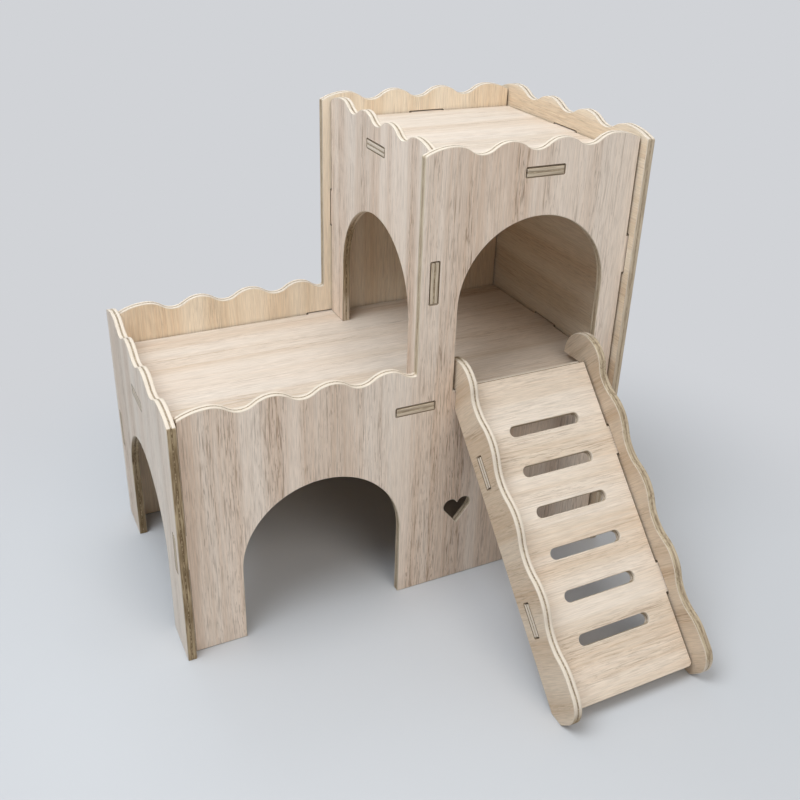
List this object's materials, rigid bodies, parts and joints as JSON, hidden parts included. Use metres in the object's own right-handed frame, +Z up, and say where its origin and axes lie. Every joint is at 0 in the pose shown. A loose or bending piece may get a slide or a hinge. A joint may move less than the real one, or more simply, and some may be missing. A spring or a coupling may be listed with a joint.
{
  "type": "hamster house",
  "caption": "Flat-pack plywood hamster castle: low room with an open deck beside a taller tower with arched doorways, a heart cut-out, scalloped tops and a hook-on ladder ramp.",
  "frame": {"origin": "on the ground, in the middle of the front panel's foot, which is also about the middle of the whole part with its ramp", "axes": "+X to the right along the front, from the low room to the tower; +Y to the back; +Z up"},
  "size_m": [0.253, 0.2653, 0.25],
  "materials": {
    "wall_veneer": "matt pale oak veneer with an upright grain, on plywood with bare laser-cut edges",
    "deck_veneer": "matt pale oak veneer with a grain along the house, on plywood with bare laser-cut edges",
    "ramp_veneer": "matt pale oak veneer with a grain across the ramp, on plywood with bare laser-cut edges"
  },
  "bodies": {
    "house": {"front_panel": "wall_veneer", "back_panel": "wall_veneer", "left_end_panel": "wall_veneer", "right_end_panel": "wall_veneer", "tower_side_wall": "wall_veneer", "floor_panel": "deck_veneer", "roof_panel": "deck_veneer"},
    "ramp": {"ramp_tread": "ramp_veneer", "ramp_rail_left": "ramp_veneer", "ramp_rail_right": "ramp_veneer"}
  },
  "joints": [
    {"name": "ramp_lift_off", "type": "slide", "parent": "house", "child": "ramp", "axis": [0, -0.7071, 0.7071], "range_m": [0, 0.08]}
  ]
}
